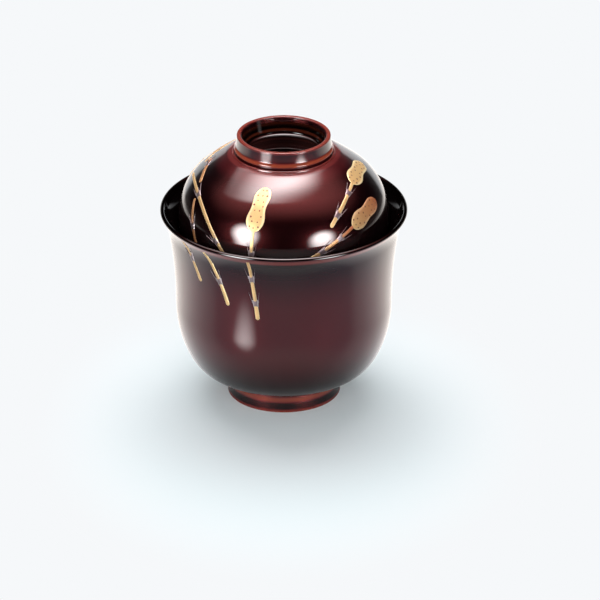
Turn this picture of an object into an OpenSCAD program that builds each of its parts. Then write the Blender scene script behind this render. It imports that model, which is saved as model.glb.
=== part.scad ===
// Small lidded soup bowl of turned wood under lacquer.
// The bowl stands on a turned foot ring and its mouth flares out above the throat.
// The lid drops inside the mouth, rests its edge on the bowl's inner wall, and is
// lifted by the ring on its top. Both are turned cores with a red-brown coat outside
// and a black coat inside, and raised gold and silver horsetail shoots on the outside.
// The origin is the centre of the foot's standing face. The shoots face -Y.

/* [Bowl] */
// Diameter of the mouth, over the lip
mouth_d = 97; // [88:0.5:120]
// Height of the lip's crown above the standing face
rim_h = 79.2; // [72:0.1:100]
// Thickness of the lip
lip_t = 1.8; // [1.2:0.1:2.6]
// Slope of the flared wall where it meets the lip, from level
flare_angle = 54; // [46:1:64]
// Height of the flare, from the throat to the lip's crown
flare_h = 8.7; // [7:0.1:12]
// Diameter at the throat, where the flare starts
throat_d = 90.5; // [86:0.5:93]
// Slope of the wall at the throat, from level
throat_angle = 80.3; // [76:0.1:84]
// Thickness of the wall at the throat
throat_wall = 3.9; // [3:0.1:4.6]
// Diameter of the belly where its wall stands upright
belly_d = 85.2; // [78:0.2:87]
// Height of that place above the standing face
belly_h = 40; // [34:0.5:48]
// Thickness of the wall at the belly
belly_wall = 3.7; // [2.8:0.1:5]
// Thickness of the wall at the haunch, low on the belly
haunch_wall = 4.2; // [3:0.1:6]
// Thickness of the bottom over the foot's well
floor_t = 4; // [3:0.1:7]

/* [Foot] */
// Diameter of the foot ring at its standing face
foot_d = 44.6; // [40:0.2:52]
// Diameter of the foot ring's waist, under the belly
foot_waist_d = 42.4; // [38:0.2:50]
// Height of the foot ring, to the crease under the belly
foot_h = 8.2; // [7.4:0.1:12]
// Radius of the fillet in that crease
foot_fillet = 1.2; // [0.6:0.1:1.8]
// Thickness of the foot ring at its standing face
foot_t = 2.9; // [2.2:0.1:5]
// Depth of the well inside the foot ring
foot_well = 6; // [4.6:0.1:7]

/* [Lid] */
// How far the lid's edge sits below the lip's crown
seat_drop = 8.4; // [6:0.1:12]
// Height of the dome, from the lid's edge to its shoulder
dome_h = 32.7; // [26:0.1:42]
// How far the dome bulges out beyond the lid's edge
dome_bulge = 0.3; // [0:0.05:0.6]
// Thickness of the lid's wall
lid_wall = 2.5; // [1.8:0.1:3.2]
// Thickness of the lid's crown under the grip's well
crown_t = 3; // [2.2:0.1:5]
// Gap left between the lid's edge and the bowl's wall
seat_gap = 0.3; // [0.2:0.05:0.5]

/* [Grip ring] */
// Diameter of the grip ring over its lip
grip_d = 36.8; // [32:0.2:40]
// Diameter of the grip ring over its foot
grip_base_d = 39.1; // [34:0.1:42]
// Height of the grip ring above the groove round its foot
grip_h = 6.2; // [5:0.1:10]
// Thickness of the grip ring's rounded lip
grip_t = 1.9; // [1.4:0.1:3]
// Depth of the well inside the grip ring
grip_well = 6.9; // [5.4:0.1:8.4]
// Width of the groove under the grip ring
groove_w = 0.7; // [0.5:0.1:1.2]
// Depth of that groove under the ring's foot
groove_depth = 0.9; // [0.8:0.1:1.4]
// How far the shoulder of the dome stands out beyond the ring's foot
shoulder_ledge = 0.75; // [0.5:0.05:2]

/* [Coats] */
// Thickness of each lacquer coat
coat_t = 0.3; // [0.2:0.02:0.4]
// Height of the gold and silver work above the lacquer
leaf_t = 0.2; // [0.1:0.02:0.3]

/* [Horsetail shoots] */
// Length of a shoot's head
head_len = 18; // [12:0.5:22]
// Width of a head at its lower lobe
head_w = 7.4; // [5:0.1:9]
// Width of a head at its waist
head_waist = 5.8; // [4:0.1:7]
// Width of a head at its upper lobe
head_top_w = 6.6; // [4.5:0.1:8]
// Width of a stalk at its base
stalk_w = 1.7; // [1.2:0.1:2.4]
// Width of a stalk at its upper end
stalk_tip_w = 1.3; // [0.8:0.1:1.6]
// Length of the silver sheath round a joint of the stalk
sheath_len = 3.2; // [2:0.1:5]
// Length of the teeth above the sheath
tooth_len = 3.6; // [2:0.1:5]
// Width of a tooth at its root
tooth_w = 0.5; // [0.35:0.05:0.8]

/* [Hidden] */

// Every turned surface is a fine run of cones through the points of its outline
steps = 8;
round_steps = 5;
$fn = 96;

mouth_r = mouth_d / 2;
lip_r = lip_t / 2;
foot_r = foot_d / 2;
foot_waist_r = foot_waist_d / 2;
belly_r = belly_d / 2;
throat_r = throat_d / 2;
grip_r = grip_d / 2;
grip_base_r = grip_base_d / 2;
grip_lip_r = grip_t / 2;

// Small roundings follow the coat, so that the coat can run round them
soft_edge = 2 * coat_t;
well_fillet = 4 * coat_t;

// Plane outlines. A station is [radius, height, heading], the heading in degrees from level.
function heading(angle) = [cos(angle), sin(angle)];
function place(station) = [station[0], station[1]];
function shifted(station, by) =
    [station[0] + by * sin(station[2]), station[1] - by * cos(station[2]), station[2]];
function backwards(list) = [for (i = [len(list) - 1:-1:0]) list[i]];
function tail(list) = [for (i = [1:1:len(list) - 1]) list[i]];

// Curve that leaves one station and arrives at the next along their headings
function curve(from, to) =
    let (start = place(from), end = place(to),
         reach = norm(end - start) * 2 / 3 / (1 + cos((to[2] - from[2]) / 2)),
         leave = start + reach * heading(from[2]),
         arrive = end - reach * heading(to[2]))
    [for (i = [1:steps]) let (t = i / steps, s = 1 - t)
        s ^ 3 * start + 3 * s ^ 2 * t * leave + 3 * s * t ^ 2 * arrive + t ^ 3 * end];
function outline(stations) =
    concat([place(stations[0])],
           [for (i = [1:len(stations) - 1]) each curve(stations[i - 1], stations[i])]);
function arc(centre, radius, from, to) =
    [for (i = [0:round_steps]) centre + radius * heading(from + (to - from) * i / round_steps)];

// The same outline moved into the material, which lies to the right of its travel
function side(a, b) = let (d = (b - a) / norm(b - a)) [d.y, -d.x];
function end_step(point, s) =
    point.x == 0 ? [0, 1 / s.y] : point.y == 0 ? [1 / s.x, 0] : s;
function inset(path, by) =
    let (last = len(path) - 1, s = [for (i = [0:last - 1]) side(path[i], path[i + 1])])
    [for (i = [0:last]) path[i] + by * (
        i == 0 ? end_step(path[0], s[0]) :
        i == last ? end_step(path[last], s[last - 1]) :
        (s[i - 1] + s[i]) / (1 + s[i - 1] * s[i]))];

// Outside of the bowl, from the crease over the foot up to the lip
crease_angle = 15;
base_angle = 26;
haunch_angle = 63;
base_r_share = 0.41;
base_h_share = 0.10;
haunch_r_share = 0.765;
haunch_h_share = 0.335;
crease_r = foot_waist_r + foot_fillet;
crease_station = [crease_r, foot_h, crease_angle];
base_station = [crease_r + base_r_share * (belly_r - crease_r),
                foot_h + base_h_share * (belly_h - foot_h), base_angle];
haunch_station = [crease_r + haunch_r_share * (belly_r - crease_r),
                  foot_h + haunch_h_share * (belly_h - foot_h), haunch_angle];
belly_station = [belly_r, belly_h, 90];
throat_station = [throat_r, rim_h - flare_h, throat_angle];
lip_centre = [mouth_r - lip_r, rim_h - lip_r];
lip_station = [lip_centre.x + lip_r * sin(flare_angle),
               lip_centre.y - lip_r * cos(flare_angle), flare_angle];
wall_stations = [crease_station, base_station, haunch_station, belly_station,
                 throat_station, lip_station];

// Inside of the bowl, from the middle of the floor up and over the lip
floor_z = foot_well + floor_t;
inner_stations = [[0, floor_z, 0], shifted(base_station, -haunch_wall),
                  shifted(haunch_station, -haunch_wall), shifted(belly_station, -belly_wall),
                  shifted(throat_station, -throat_wall), shifted(lip_station, -lip_t)];
bowl_inside = concat(outline(inner_stations),
                     tail(arc(lip_centre, lip_r, 90 + flare_angle, 0)));

// Outside again, downwards from the lip to the foot's standing face
foot_edge_angle = 50;
foot_wall_angle = atan((foot_r - foot_waist_r) / foot_h);
foot_edge_centre = [foot_r - soft_edge, soft_edge * sin(foot_edge_angle)];
foot_crease = [[crease_r, foot_h, crease_angle - 180],
               [foot_waist_r, foot_h - foot_fillet, foot_wall_angle - 90]];
foot_edge = arc(foot_edge_centre, soft_edge, foot_wall_angle, -foot_edge_angle);
bowl_outside = concat(arc(lip_centre, lip_r, 0, flare_angle - 90),
                      tail(backwards(outline(wall_stations))),
                      tail(outline(foot_crease)),
                      [for (i = [0:round_steps - 1]) foot_edge[i]],
                      [[foot_edge[round_steps].x, 0]]);

// Well of the foot, from the standing face up and in to the middle
foot_inner_r = foot_r - foot_t;
foot_well_lean = 4;
foot_well_r = foot_inner_r - (foot_well - well_fillet) * tan(foot_well_lean);
foot_well_path = concat([[foot_inner_r, 0]],
                        backwards(arc([foot_well_r - well_fillet, foot_well - well_fillet],
                                      well_fillet, 90, 0)),
                        [[0, foot_well]]);

bowl_skin = concat(bowl_inside, tail(bowl_outside));
bowl_core_skin = inset(bowl_skin, coat_t);
foot_core_skin = inset(foot_well_path, coat_t);

// The lid rests where the bowl's wall leaves seat_gap round its edge
seat_z = rim_h - seat_drop;
bowl_wall_table = [for (p = outline(inner_stations)) if (p.y > belly_h) [p.y, p.x]];
lid_r = lookup(seat_z, bowl_wall_table) - seat_gap / sin(throat_angle);
edge_angle = throat_angle - 180;
shoulder_z = seat_z + dome_h;
grip_base_z = shoulder_z + groove_w;
crown_z = grip_base_z + grip_h;
well_z = crown_z - grip_well;
shoulder_r = grip_base_r + shoulder_ledge;

// Outside of the dome, from its shoulder down to its edge
shoulder_angle = -29;
dome_angle = -38;
lid_haunch_angle = -75;
dome_r_share = 0.57;
dome_h_share = 0.755;
haunch_out_share = 0.965;
lid_haunch_h_share = 0.38;
bulge_h_share = 0.14;
dome_stations = [[shoulder_r, shoulder_z - soft_edge * (1 - cos(shoulder_angle)), shoulder_angle],
                 [shoulder_r + dome_r_share * (lid_r - shoulder_r),
                  seat_z + dome_h_share * dome_h, dome_angle],
                 [shoulder_r + haunch_out_share * (lid_r - shoulder_r),
                  seat_z + lid_haunch_h_share * dome_h, lid_haunch_angle],
                 [lid_r + dome_bulge, seat_z + bulge_h_share * dome_h, -90]];
edge_station = [lid_r, seat_z, edge_angle];
edge_r = lid_wall / 2;
edge_centre = place(shifted(edge_station, edge_r));

// Grip ring, from the middle of its well over its lip and down to the groove
grip_top_angle = -79;
grip_foot_angle = -72;
grip_well_r = grip_r - grip_t - well_fillet;
grip_wall = [[grip_r - grip_lip_r * (1 - cos(grip_top_angle + 90)),
              crown_z - grip_lip_r * (1 - sin(grip_top_angle + 90)), grip_top_angle],
             [grip_base_r - soft_edge * (1 - cos(grip_foot_angle + 90)),
              grip_base_z + soft_edge * (1 + sin(grip_foot_angle + 90)), grip_foot_angle]];
groove_r = grip_base_r - groove_depth;
lid_outside = concat(
    [[0, well_z]],
    arc([grip_well_r - well_fillet, well_z + well_fillet], well_fillet, -90, 0),
    arc([grip_r - grip_lip_r, crown_z - grip_lip_r], grip_lip_r, 180, 90),
    tail(arc([grip_r - grip_lip_r, crown_z - grip_lip_r], grip_lip_r,
             90, grip_top_angle + 90)),
    tail(outline(grip_wall)),
    tail(arc([grip_base_r - soft_edge, grip_base_z + soft_edge], soft_edge,
             grip_foot_angle + 90, -90)),
    [[groove_r, grip_base_z], [groove_r, shoulder_z]],
    arc([shoulder_r + soft_edge * sin(shoulder_angle), shoulder_z - soft_edge],
        soft_edge, 90, 90 + shoulder_angle),
    tail(outline(concat(dome_stations, [edge_station]))),
    tail(arc(edge_centre, edge_r, edge_angle + 90, edge_angle)));

// Inside of the lid, from its edge up to the middle
lid_inner_stations = concat(
    [[0, well_z - crown_t, 0]],
    [for (i = [1:len(dome_stations) - 1]) shifted(dome_stations[i], lid_wall)],
    [shifted(edge_station, lid_wall)]);
lid_inside = concat(arc(edge_centre, edge_r, edge_angle, edge_angle - 90),
                    tail(backwards(outline(lid_inner_stations))));
lid_skin = concat(lid_outside, tail(lid_inside));
lid_core_skin = inset(lid_skin, coat_t);

module turned(points) {
    rotate_extrude() polygon(points);
}

// Coat between a run of the surface and the core under it
module coat(surface, core_surface, first) {
    turned(concat(surface,
                  backwards([for (i = [0:len(surface) - 1]) core_surface[first + i]])));
}

// Horsetail shoots. A row is [azimuth from the front, share of the height, lean to the right,
// bow share, base share, top share, has a head, shares of the sheaths, share by which the head
// leans over at its end]. The shares from the bow on are of the head's length, measured along
// the shoot from its anchor point.
lid_shoot_shares = [
    [-56.7, 0.51, -62, 0.24, -1.1, 1.38, false, [0.33, -0.87], 0],
    [-128, 0.64, -88, 0, -0.9, -0.5, true, [], -0.05],
    [-86.8, 0.79, -64.4, 0, -0.42, 0.4, false, [0.06], 0],
    [-128, 0.86, -84, 0, -0.8, -0.5, true, [], 0.04],
    [-62.1, 0.38, -27.1, 0, -0.66, 0.44, false, [-0.27], 0],
    [-17.5, 0.54, 1.3, 0, -1.1, -0.16, true, [-0.74], 0.06],
    [49, 0.73, 60.6, 0, -0.87, 0.36, true, [-0.06, -0.7], 0.1],
    [39.4, 0.39, 67.6, 0, -1.06, 0.11, true, [-0.38, -0.86], 0.06]];
bowl_shoot_shares = [
    [-51.4, 0.875, -21.6, 0, -0.46, 0.5, false, [-0.03], 0],
    [-35.2, 0.83, -21.6, 0.04, -0.64, 0.68, false, [-0.18], 0],
    [-15.3, 0.785, -6, 0, -0.64, 0.84, false, [0.25, -0.36], 0]];

// Leaf of raised metal over a run of the surface
module leaf(surface, outward) {
    turned(concat(surface, backwards(inset(surface, outward * leaf_t))));
}

// Carries a flat drawing onto the surface, aimed along the surface's own normal
reach = mouth_r / 3;
module painted(surface, azimuth, z) {
    table = [for (p = surface) [p.y, p.x]];
    probe = rim_h / 60;
    r = lookup(z, table);
    tilt = atan((lookup(z - probe, table) - lookup(z + probe, table)) / (2 * probe));
    rotate([0, 0, azimuth]) translate([0, -r, z]) rotate([90 - tilt, 0, 0])
        translate([0, 0, -reach]) linear_extrude(2 * reach) children();
}

// Sideways place of a bowed stalk's middle, about its mean line
function bow_at(y, bow, base, top) = bow * (1 / 3 - ((2 * y - base - top) / (top - base)) ^ 2);

// Stalk with a rounded base, thinner towards its upper end and bowed to one side
module stalk(base, top, bow) {
    rows = [for (i = [0:steps]) let (y = base + (top - base) * i / steps)
        [bow_at(y, bow, base, top), y, (stalk_w + (stalk_tip_w - stalk_w) * i / steps) / 2]];
    foot_arc = [for (angle = [195:15:345])
        [rows[0][0], base] + stalk_w / 2 * heading(angle)];
    polygon(concat(foot_arc, [for (row = rows) [row[0] + row[2], row[1]]],
                   backwards([for (row = rows) [row[0] - row[2], row[1]]])));
}

// Head with a wide lower lobe, a waist and a narrower upper lobe that leans over by swing
lower_lobe_share = 0.26;
waist_share = 0.55;
upper_lobe_share = 0.8;
function head_half(t) =
    let (low = t < waist_share,
         lobe = low ? head_w : head_top_w,
         middle = low ? lower_lobe_share : upper_lobe_share,
         blend = (1 + cos(180 * (t - middle) / (waist_share - middle))) / 2,
         end_round = sqrt(max(0, 1 - (2 * t - 1) ^ 6)))
    (head_waist + (lobe - head_waist) * blend) / 2 * end_round;
module head(base, swing) {
    rows = [for (i = [0:2 * steps]) let (t = (1 - cos(90 * i / steps)) / 2)
        [swing * t ^ 2, base + head_len * t, head_half(t)]];
    polygon(concat([for (row = rows) [row[0] + row[2], row[1]]],
                   [for (i = [2 * steps - 1:-1:1]) [rows[i][0] - rows[i][2], rows[i][1]]]));
}

// Silver sheath round the stalk, with two long teeth that stand away from it
sheath_low_share = 0.56;
sheath_high_share = 0.74;
tooth_root_share = 0.7;
module sheath() {
    low = sheath_low_share * stalk_w;
    high = sheath_high_share * stalk_w;
    half = [[low, 0], [high + tooth_w, tooth_root_share * sheath_len],
            [high + tooth_len / 4, sheath_len + tooth_len], [high, sheath_len]];
    polygon(concat(half, [[0, sheath_len / 2]],
                   backwards([for (p = half) [-p.x, p.y]])));
}

module gold_drawing(row) {
    base = row[4] * head_len;
    top = row[5] * head_len;
    difference() {
        union() {
            stalk(base, row[6] ? top + head_len / 10 : top, row[3] * head_len);
            if (row[6]) head(top, row[8] * head_len);
        }
        silver_drawing(row);
    }
}

module silver_drawing(row) {
    base = row[4] * head_len;
    top = row[5] * head_len;
    for (share = row[7])
        translate([bow_at(share * head_len, row[3] * head_len, base, top), share * head_len])
            sheath();
}

// Every shoot of a table as raised leaf on a surface, between low_z and low_z + height
module shoots(rows, surface, outward, low_z, height, silver) {
    for (row = rows)
        if (!silver || len(row[7]) > 0) intersection() {
            leaf(surface, outward);
            painted(surface, row[0], low_z + row[1] * height)
                rotate([0, 0, -row[2]])
                    if (silver) silver_drawing(row);
                    else gold_drawing(row);
        }
}

bowl_painted = outline([belly_station, throat_station, lip_station]);
lid_painted = outline(dome_stations);

module bowl_core() {
    color("#c8a06a") turned(concat(bowl_core_skin, foot_core_skin));
}

module bowl_outer_lacquer() {
    color("#56302f") coat(bowl_outside, bowl_core_skin, len(bowl_inside) - 1);
}

module bowl_inner_lacquer() {
    color("#141012") coat(bowl_inside, bowl_core_skin, 0);
}

module foot_well_lacquer() {
    color("#56302f") coat(foot_well_path, foot_core_skin, 0);
}

module bowl_gold_shoots() {
    color("#dcb36b") shoots(bowl_shoot_shares, bowl_painted, 1, 0, rim_h, false);
}

module bowl_silver_sheaths() {
    color("#97898c") shoots(bowl_shoot_shares, bowl_painted, 1, 0, rim_h, true);
}

module lid_core() {
    color("#c8a06a") turned(lid_core_skin);
}

module lid_outer_lacquer() {
    color("#56302f") coat(lid_outside, lid_core_skin, 0);
}

module lid_inner_lacquer() {
    color("#141012") coat(lid_inside, lid_core_skin, len(lid_outside) - 1);
}

module lid_gold_shoots() {
    color("#dcb36b") shoots(lid_shoot_shares, lid_painted, -1, seat_z, dome_h, false);
}

module lid_silver_sheaths() {
    color("#97898c") shoots(lid_shoot_shares, lid_painted, -1, seat_z, dome_h, true);
}

bowl_core();
bowl_outer_lacquer();
bowl_inner_lacquer();
foot_well_lacquer();
bowl_gold_shoots();
bowl_silver_sheaths();
lid_core();
lid_outer_lacquer();
lid_inner_lacquer();
lid_gold_shoots();
lid_silver_sheaths();
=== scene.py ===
# Small lidded soup bowl in polished lacquer, dressed over its turned wooden frame.
# Outlines are in millimetres, radius first and height second, and become metres in the meshes.
import math
import random

import bmesh
import bpy
from mathutils import Matrix, Vector


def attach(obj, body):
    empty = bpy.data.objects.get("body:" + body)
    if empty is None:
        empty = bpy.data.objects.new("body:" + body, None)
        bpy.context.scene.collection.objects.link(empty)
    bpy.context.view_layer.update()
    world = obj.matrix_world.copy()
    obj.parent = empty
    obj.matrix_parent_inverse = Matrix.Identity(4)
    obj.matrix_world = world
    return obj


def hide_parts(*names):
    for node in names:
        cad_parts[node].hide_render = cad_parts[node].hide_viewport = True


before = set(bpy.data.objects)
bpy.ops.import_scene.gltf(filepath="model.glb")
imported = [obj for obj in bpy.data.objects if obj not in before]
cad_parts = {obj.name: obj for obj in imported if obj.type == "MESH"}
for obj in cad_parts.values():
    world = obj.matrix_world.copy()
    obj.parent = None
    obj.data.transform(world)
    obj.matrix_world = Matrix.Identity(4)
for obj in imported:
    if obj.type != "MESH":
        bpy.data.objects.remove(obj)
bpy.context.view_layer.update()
print("frame loaded:", len(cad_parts), "nodes")

samePoint = 1e-5   # mm
onAxis = 1e-6   # mm


# A colour in sRGB hex, as the linear colour that a shader takes
def toLinear(hexColour):
    values = [int(hexColour[i:i + 2], 16) / 255 for i in (1, 3, 5)]
    return [v / 12.92 if v <= 0.04045 else ((v + 0.055) / 1.055) ** 2.4 for v in values] + [1.0]


# Rises softly from 0 to 1
def smooth(x):
    x = min(1.0, max(0.0, x))
    return x * x * (3 - 2 * x)


# The direction at an angle from level, in degrees
def heading(angle):
    return Vector((math.cos(math.radians(angle)), math.sin(math.radians(angle))))


# A station is (radius, height, heading in degrees from level). Moving it by d moves it to the
# right of its travel, into or out of the wall.
def shifted(station, d):
    r, z, angle = station
    return (r + d * math.sin(math.radians(angle)), z - d * math.cos(math.radians(angle)), angle)


# A smooth curve through the stations, at each one's heading
def outline(stations, steps=22):
    points = [Vector(stations[0][:2])]
    for start, end in zip(stations, stations[1:]):
        a, b = Vector(start[:2]), Vector(end[:2])
        reach = (b - a).length * 2 / 3 / (1 + math.cos(math.radians(end[2] - start[2]) / 2))
        leave, arrive = a + reach * heading(start[2]), b - reach * heading(end[2])
        for i in range(1, steps + 1):
            t = i / steps
            s = 1 - t
            points.append(s ** 3 * a + 3 * s * s * t * leave + 3 * s * t * t * arrive + t ** 3 * b)
    return points


# Part of a circle, between two angles
def arc(centre, radius, start, end, steps=10):
    return [Vector(centre) + radius * heading(start + (end - start) * i / steps)
            for i in range(steps + 1)]


# Paths end to end, each shared point taken once
def join(*paths):
    points = []
    for path in paths:
        for point in path:
            if not points or (points[-1] - point).length > samePoint:
                points.append(point)
    return points


# The path moved by d into the material on the right of its travel
def inset(path, d):
    sides = []
    for a, b in zip(path, path[1:]):
        run = (b - a).normalized()
        sides.append(Vector((run.y, -run.x)))
    moved = []
    for i, point in enumerate(path):
        before, after = sides[max(0, i - 1)], sides[min(len(sides) - 1, i)]
        step = (before + after) / (1 + before.dot(after))
        moved.append(point + d * step)
    for i in (0, -1):
        if path[i].x < onAxis:
            moved[i].x = 0.0
    return moved


# The path's radius at a height, or that of its nearer end
def radiusAt(path, z):
    for a, b in zip(path, path[1:]):
        if min(a.y, b.y) <= z <= max(a.y, b.y) and a.y != b.y:
            return a.x + (b.x - a.x) * (z - a.y) / (b.y - a.y)
    end = path[0] if abs(path[0].y - z) < abs(path[-1].y - z) else path[-1]
    return end.x


# A mesh from points in millimetres, with a value at each point where one is given
def meshObject(name, vertices, faces, material, values=None, sharpAngle=40):
    mesh = bpy.data.meshes.new(name)
    mesh.from_pydata([Vector(v) * 0.001 for v in vertices], [], faces)
    for label, numbers in (values or {}).items():
        layer = mesh.attributes.new(label, "FLOAT", "POINT")
        layer.data.foreach_set("value", numbers)
    work = bmesh.new()
    work.from_mesh(mesh)
    bmesh.ops.recalc_face_normals(work, faces=work.faces)
    work.to_mesh(mesh)
    work.free()
    mesh.shade_smooth()
    mesh.set_sharp_from_angle(angle=math.radians(sharpAngle))
    mesh.materials.append(material)
    piece = bpy.data.objects.new(name, mesh)
    bpy.context.scene.collection.objects.link(piece)
    return piece


# The same path with its long straight runs divided, so that worn spots keep their own reach
def finer(path, step=0.5):
    points = [path[0]]
    for a, b in zip(path, path[1:]):
        length = (b - a).length
        parts = math.ceil(length / step) if length > 1.5 * step else 1
        points += [a.lerp(b, i / parts) for i in range(1, parts + 1)]
    return points


# Turns a closed outline about the upright axis. The spots are (radius, height, reach, amount) where
# red is laid into the coat's colour: wear where the top coat is rubbed thin, and painted glow and
# painted reflection at some places. The amount holds round the middle and fades out at the reach.
def turn(name, loop, material, wearAndGlowSpots=(), around=192, fullness=1.4):
    vertices, faces, wearAndGlow, rows = [], [], [], []
    for point in loop:
        amount = 0.0
        for r, z, reach, most in wearAndGlowSpots:
            away = fullness * math.hypot(point.x - r, point.y - z) / reach
            amount = max(amount, most * smooth(fullness - away))
        count = 1 if point.x < onAxis else around
        rows.append((len(vertices), count))
        for i in range(count):
            angle = 2 * math.pi * i / around
            vertices.append((point.x * math.sin(angle), -point.x * math.cos(angle), point.y))
            wearAndGlow.append(amount)
    for (a, countA), (b, countB) in zip(rows, rows[1:] + rows[:1]):
        if countA == 1 and countB == 1:
            continue
        for i in range(around):
            j = (i + 1) % around
            if countA == 1:
                faces.append((a, b + i, b + j))
            elif countB == 1:
                faces.append((a + i, a + j, b))
            else:
                faces.append((a + i, a + j, b + j, b + i))
    return meshObject(name, vertices, faces, material, {"wearAndPaintedGlow": wearAndGlow})


# Adds one shader node with its settings, and fills or links its inputs
def addNode(tree, kind, settings=None, inputs=None):
    node = tree.nodes.new(kind)
    for name, value in (settings or {}).items():
        setattr(node, name, value)
    for name, value in (inputs or {}).items():
        if isinstance(value, bpy.types.NodeSocket):
            tree.links.new(value, node.inputs[name])
        else:
            node.inputs[name].default_value = value
    return node


def newMaterial(name):
    material = bpy.data.materials.new(name)
    material.use_nodes = True
    tree = material.node_tree
    return material, tree, tree.nodes["Principled BSDF"]


# The coat's colour: dark, with slow cloud in it, and red where it is rubbed thin and where painted
# glow and painted reflection are laid
def addCoatColour(tree, look, place, wearAndGlow, wearAndGlowColour):
    cloud = addNode(tree, "ShaderNodeTexNoise", inputs={
        "Vector": place.outputs["Object"], "Scale": 1000 / look["cloudSize"], "Detail": 3.0})
    ground = addNode(tree, "ShaderNodeMix", {"data_type": "RGBA"}, {
        0: cloud.outputs["Fac"], 6: toLinear(look["body"]), 7: toLinear(look["haze"])})
    return addNode(tree, "ShaderNodeMix", {"data_type": "RGBA"}, {
        0: wearAndGlow.outputs["Fac"], 6: ground.outputs[2], 7: wearAndGlowColour})


# What both lacquers are polished to: a sharp clear coat over a softer body
def polish(shader, look):
    for name, value in (
            ("Roughness", look["roughness"]), ("IOR", look["ior"]),
            ("Specular IOR Level", look["specular"]), ("Coat Weight", 1.0),
            ("Coat IOR", look["coatIor"]), ("Coat Roughness", look["coatRoughness"])):
        shader.inputs[name].default_value = value


redBrownLacquer = {
    # deep coat, slow cloud in it, faint red of light wear and of painted glow, coat rubbed through at
    # an edge
    "body": "#050002", "haze": "#090204", "part": "#a83c46", "through": "#a64a32",
    "cloudSize": 26.0, "rippleSize": 9.0, "rippleDepth": 0.003,   # mm
    "roughness": 0.32, "ior": 1.5, "specular": 0.17, "tint": "#ff706c",
    "coatIor": 1.46, "coatRoughness": 0.04}


# Polished lacquer over turned wood: a dark translucent brown coat over a red ground, rubbed with
# powder and oil. The eye sees a sharp clear reflection over a soft red bloom, and the red ground shows
# at the edges, where the top coat is rubbed thin. The same red is also laid faintly as painted glow
# over the bowl's belly and the dome's top, and as painted reflection on the ring's wall and round its
# foot.
def makeRedBrownLacquer(look):
    material, tree, shader = newMaterial("polishedRedBrownLacquer")
    place = addNode(tree, "ShaderNodeTexCoord")
    wearAndGlow = addNode(tree, "ShaderNodeAttribute", {"attribute_name": "wearAndPaintedGlow"})
    wearAndGlowColour = addNode(tree, "ShaderNodeMix", {"data_type": "RGBA"}, {
        0: wearAndGlow.outputs["Fac"], 6: toLinear(look["part"]), 7: toLinear(look["through"])})
    colour = addCoatColour(tree, look, place, wearAndGlow, wearAndGlowColour.outputs[2])
    ripple = addNode(tree, "ShaderNodeTexNoise", inputs={
        "Vector": place.outputs["Object"], "Scale": 1000 / look["rippleSize"], "Detail": 1.0})
    bump = addNode(tree, "ShaderNodeBump", inputs={
        "Height": ripple.outputs["Fac"], "Distance": look["rippleDepth"] / 1000, "Strength": 1.0})
    tree.links.new(colour.outputs[2], shader.inputs["Base Color"])
    tree.links.new(bump.outputs["Normal"], shader.inputs["Normal"])
    tree.links.new(bump.outputs["Normal"], shader.inputs["Coat Normal"])
    polish(shader, look)
    shader.inputs["Specular Tint"].default_value = toLinear(look["tint"])
    return material


blackLacquer = {
    # deep coat, slow cloud in it, and the red of the bands in the ring's well
    "body": "#040202", "haze": "#070303", "through": "#a64a32", "cloudSize": 18.0,   # mm
    "roughness": 0.3, "ior": 1.5, "specular": 0.0, "coatIor": 1.46, "coatRoughness": 0.03}


# Polished black lacquer, coloured with iron and rubbed to a mirror: the eye sees almost only
# what it reflects, with a faint brown cast where light strikes it straight.
def makeBlackLacquer(look):
    material, tree, shader = newMaterial("polishedBlackLacquer")
    place = addNode(tree, "ShaderNodeTexCoord")
    wearAndGlow = addNode(tree, "ShaderNodeAttribute", {"attribute_name": "wearAndPaintedGlow"})
    colour = addCoatColour(tree, look, place, wearAndGlow, toLinear(look["through"]))
    tree.links.new(colour.outputs[2], shader.inputs["Base Color"])
    polish(shader, look)
    return material


turnedWood = {"light": "#b98d5b", "dark": "#8a5f37", "roughness": 0.7,
              "ringSpacing": 13.823, "poreSize": 0.6, "poreDepth": 0.05}   # mm
waveRadians = 20   # that a wave texture turns through for each unit of its scale


# Zelkova turned on a lathe and left bare under the coats: growth rings run across it, with
# open pores along the darker bands, and the surface is matt.
def makeTurnedWood(look):
    material, tree, shader = newMaterial("turnedZelkova")
    place = addNode(tree, "ShaderNodeTexCoord")
    rings = addNode(tree, "ShaderNodeTexWave", {"bands_direction": "X"}, {
        "Vector": place.outputs["Object"],
        "Scale": 1000 * 2 * math.pi / look["ringSpacing"] / waveRadians,
        "Distortion": 3.0, "Detail": 2.0})
    pores = addNode(tree, "ShaderNodeTexNoise", inputs={
        "Vector": place.outputs["Object"], "Scale": 1000 / look["poreSize"], "Detail": 2.0})
    colour = addNode(tree, "ShaderNodeMix", {"data_type": "RGBA"}, {
        0: rings.outputs["Fac"], 6: toLinear(look["light"]), 7: toLinear(look["dark"])})
    bump = addNode(tree, "ShaderNodeBump", inputs={
        "Height": pores.outputs["Fac"], "Distance": look["poreDepth"] / 1000, "Strength": 0.6})
    tree.links.new(colour.outputs[2], shader.inputs["Base Color"])
    tree.links.new(bump.outputs["Normal"], shader.inputs["Normal"])
    shader.inputs["Roughness"].default_value = look["roughness"]
    return material


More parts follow.
